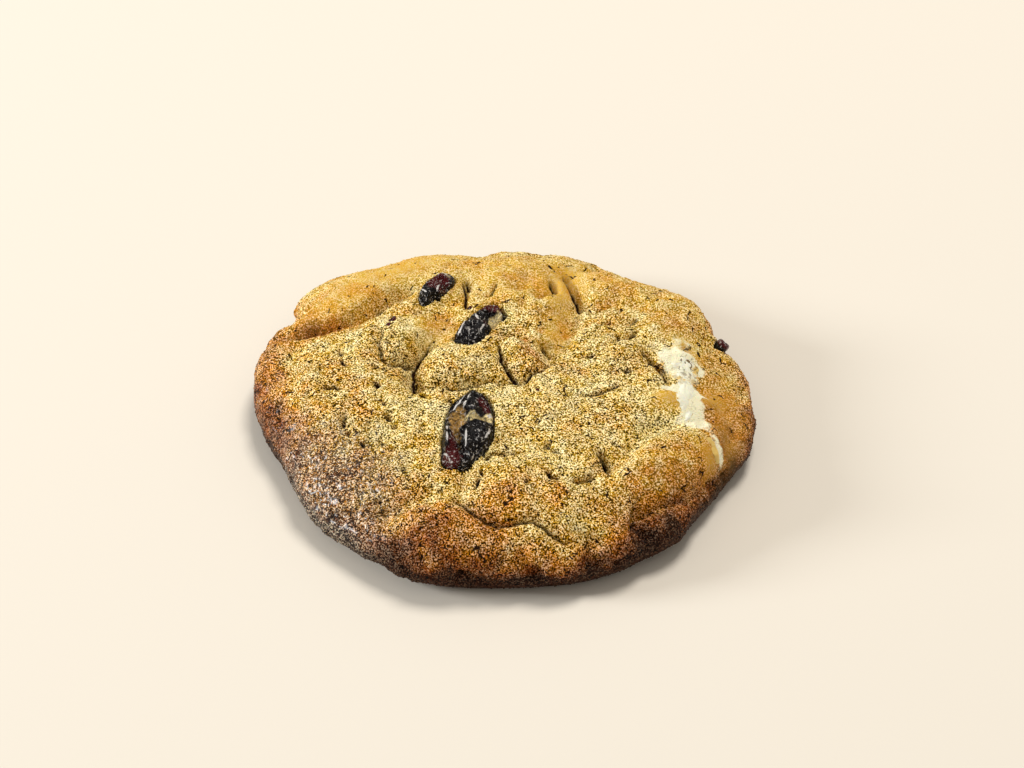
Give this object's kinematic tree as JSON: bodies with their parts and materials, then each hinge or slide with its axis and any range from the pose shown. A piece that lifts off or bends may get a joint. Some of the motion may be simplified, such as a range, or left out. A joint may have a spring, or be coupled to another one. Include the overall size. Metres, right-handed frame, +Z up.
{
  "type": "white chocolate cranberry cookie",
  "caption": "Round soft-baked cookie with a cracked, browned crust, dried cranberries and white chocolate set in its top.",
  "frame": {"origin": "middle of the bounding box, at the height of the flat base", "axes": "+Z up from the base, +X to the cookie's right along its longest side, +Y away from the side with the large cranberry"},
  "size_m": [0.0806, 0.0776, 0.0145],
  "materials": {
    "baked_dough": "baked cookie dough: matt, grainy golden crust, browner at the rim and in the folds",
    "dried_cranberry": "dried cranberry: dark red to near black, wrinkled, with a soft gloss",
    "white_chocolate": "melted and set white chocolate: cream white, slightly glossy, toasted at its edges"
  },
  "bodies": {
    "root": {"dough": "baked_dough", "cranberry_front": "dried_cranberry", "cranberry_middle": "dried_cranberry", "cranberry_back": "dried_cranberry", "cranberry_edge": "dried_cranberry", "white_chocolate_right": "white_chocolate", "white_chocolate_small": "white_chocolate"}
  },
  "joints": []
}
